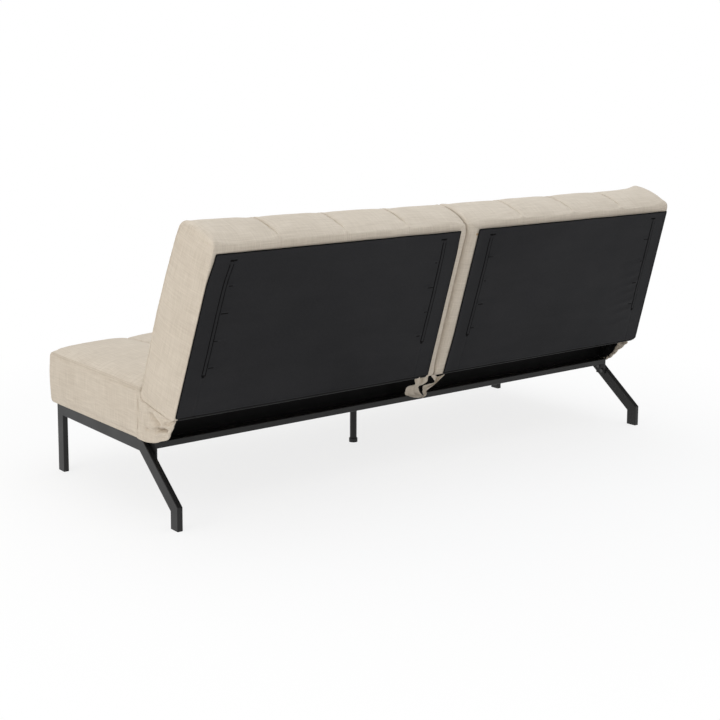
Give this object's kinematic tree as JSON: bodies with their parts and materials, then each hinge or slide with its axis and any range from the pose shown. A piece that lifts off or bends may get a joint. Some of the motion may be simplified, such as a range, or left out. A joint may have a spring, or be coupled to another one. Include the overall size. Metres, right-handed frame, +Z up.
{
  "type": "sofa bed",
  "caption": "Armless sofa bed: channelled fabric seat on a steel tube base, with back halves that fold flat on ratchet hinges to make a bed.",
  "frame": {"origin": "on the floor, under the middle of the sofa's box, back upright", "axes": "+Z up, the sitter faces -Y, +X is the sitter's left"},
  "size_m": [1.98, 0.9464, 0.889],
  "materials": {
    "cover_fabric": "linen-look weave",
    "dust_cloth": "black non-woven",
    "webbing": "elastic strap",
    "frame_wood": "raw pine",
    "frame_paint": "satin black powder coat",
    "foot_plastic": "moulded",
    "hinge_steel": "black oxide",
    "fastener_steel": "zinc"
  },
  "bodies": {
    "base": {"end_frame_left": "frame_paint", "end_frame_right": "frame_paint", "rear_rail": "frame_paint", "front_rail": "frame_paint", "centre_beam": "frame_paint", "rail_flange_left": "frame_paint", "rail_flange_right": "frame_paint", "seat_tabs": "frame_paint", "centre_leg": "frame_paint", "foot_cap_front_left": "foot_plastic", "foot_cap_front_right": "foot_plastic", "foot_cap_rear_left": "foot_plastic", "foot_cap_rear_right": "foot_plastic", "centre_leg_foot": "foot_plastic", "frame_bolts": "fastener_steel", "hinge_seat_bolts": "fastener_steel", "hinge_pins_left": "fastener_steel", "hinge_pins_right": "fastener_steel", "pawl_studs": "fastener_steel", "seat_rail_left": "frame_wood", "seat_rail_right": "frame_wood", "seat_rail_front": "frame_wood", "seat_rail_rear": "frame_wood", "seat_rail_centre": "frame_wood", "hinge_seat_plate_left_outer": "hinge_steel", "hinge_seat_plate_left_inner": "hinge_steel", "hinge_seat_plate_right_outer": "hinge_steel", "hinge_seat_plate_right_inner": "hinge_steel", "gusset_end_left": "cover_fabric", "gusset_end_right": "cover_fabric", "gusset_centre_left": "cover_fabric", "gusset_centre_right": "cover_fabric", "seat_webbing": "webbing", "seat_cushion": "cover_fabric", "seat_dust_cover": "dust_cloth", "seat_rear_lining": "dust_cloth"},
    "back_left": {"back_cushion_left": "cover_fabric", "back_frame_left": "frame_wood", "back_webbing_left": "webbing", "back_dust_cover_left": "dust_cloth", "hinge_back_bolts_left": "fastener_steel", "hinge_back_plate_left_outer": "hinge_steel", "hinge_back_plate_left_inner": "hinge_steel"},
    "back_right": {"back_cushion_right": "cover_fabric", "back_frame_right": "frame_wood", "back_webbing_right": "webbing", "back_dust_cover_right": "dust_cloth", "hinge_back_bolts_right": "fastener_steel", "hinge_back_plate_right_outer": "hinge_steel", "hinge_back_plate_right_inner": "hinge_steel"},
    "pawls_left": {"pawls_left": "hinge_steel"},
    "pawls_right": {"pawls_right": "hinge_steel"}
  },
  "joints": [
    {"name": "back_left_hinge", "type": "hinge", "parent": "base", "child": "back_left", "pos_m": [0, 0.1968, 0.366], "axis": [-1, 0, 0], "range_deg": [-12, 72], "deforming": ["gusset_end_left", "gusset_centre_left"]},
    {"name": "back_right_hinge", "type": "hinge", "parent": "base", "child": "back_right", "pos_m": [0, 0.1968, 0.366], "axis": [-1, 0, 0], "range_deg": [-12, 72], "deforming": ["gusset_end_right", "gusset_centre_right"]},
    {"name": "pawls_left_pivot", "type": "hinge", "parent": "base", "child": "pawls_left", "pos_m": [0, 0.1582, 0.342], "axis": [-1, 0, 0], "range_deg": [0, 8]},
    {"name": "pawls_right_pivot", "type": "hinge", "parent": "base", "child": "pawls_right", "pos_m": [0, 0.1582, 0.342], "axis": [-1, 0, 0], "range_deg": [0, 8]}
  ]
}
